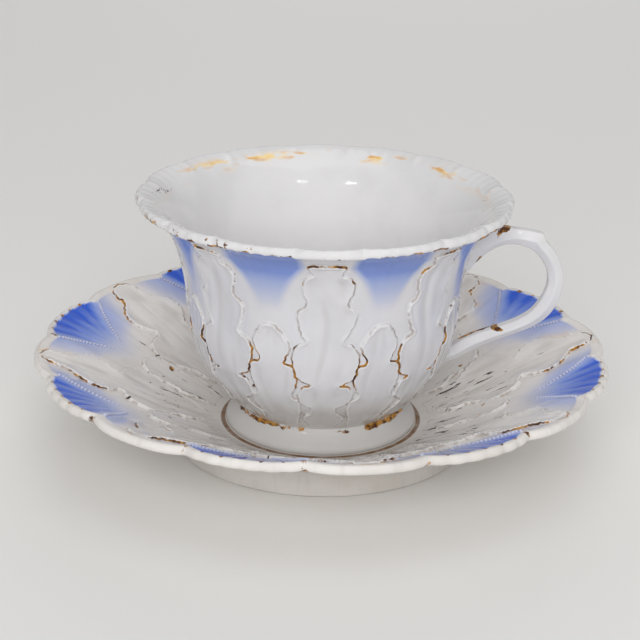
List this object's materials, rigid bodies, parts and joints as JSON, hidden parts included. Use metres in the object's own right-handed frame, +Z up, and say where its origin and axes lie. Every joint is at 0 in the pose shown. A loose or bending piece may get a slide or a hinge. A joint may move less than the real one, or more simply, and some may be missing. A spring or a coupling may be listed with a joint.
{
  "type": "cup with saucer",
  "caption": "White porcelain tea cup with a flared scalloped rim and loop handle, standing on a matching scalloped saucer, both moulded with leaves and shell panels.",
  "frame": {"origin": "middle of the saucer's foot ring, on the surface that it stands on", "axes": "+Z up along the axis of the cup and the saucer, +X along the cup's handle"},
  "size_m": [0.1512, 0.1512, 0.0675],
  "materials": {
    "cup_porcelain": "clear glaze over white porcelain, airbrushed blue panels and worn gilding",
    "saucer_porcelain": "clear glaze over slightly warmer white porcelain, airbrushed blue panels and worn gilding"
  },
  "bodies": {
    "saucer": {"saucer_dish": "saucer_porcelain", "saucer_foot_ring": "saucer_porcelain"},
    "cup": {"cup_bowl": "cup_porcelain", "cup_foot": "cup_porcelain", "cup_handle": "cup_porcelain"}
  },
  "joints": [
    {"name": "cup_lift", "type": "slide", "parent": "saucer", "child": "cup", "axis": [0, 0, 1], "range_m": [0, 0.08]}
  ]
}
